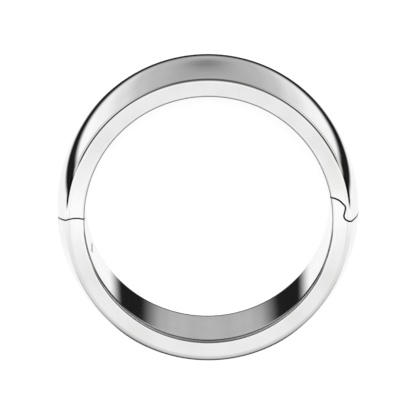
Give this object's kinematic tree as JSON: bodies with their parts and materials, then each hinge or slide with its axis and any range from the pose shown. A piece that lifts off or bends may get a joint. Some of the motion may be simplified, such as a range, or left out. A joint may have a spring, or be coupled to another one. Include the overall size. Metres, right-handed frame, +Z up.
{
  "type": "hinged rounded band ring",
  "caption": "Polished domed finger ring in two halves that swing apart on a hidden hinge and close at a stepped latch seam.",
  "frame": {"origin": "on the ring's axis, in the plane of the side face that the ring rests on", "axes": "+Z up along the ring's axis, +Y towards the middle of the upper half, +X towards the latch, with the hinge at -X"},
  "size_m": [0.0212, 0.0212, 0.0104],
  "materials": {
    "white_gold": "mirror polished",
    "pin_metal": "ground"
  },
  "bodies": {
    "upper": {"upper_band": "white_gold", "hinge_pin": "pin_metal"},
    "lower": {"lower_band": "white_gold"}
  },
  "joints": [
    {"name": "hinge_swing", "type": "hinge", "parent": "upper", "child": "lower", "pos_m": [-0.00925, -0.0017, 0.0052], "axis": [0, 0, -1], "range_deg": [0, 70]}
  ]
}
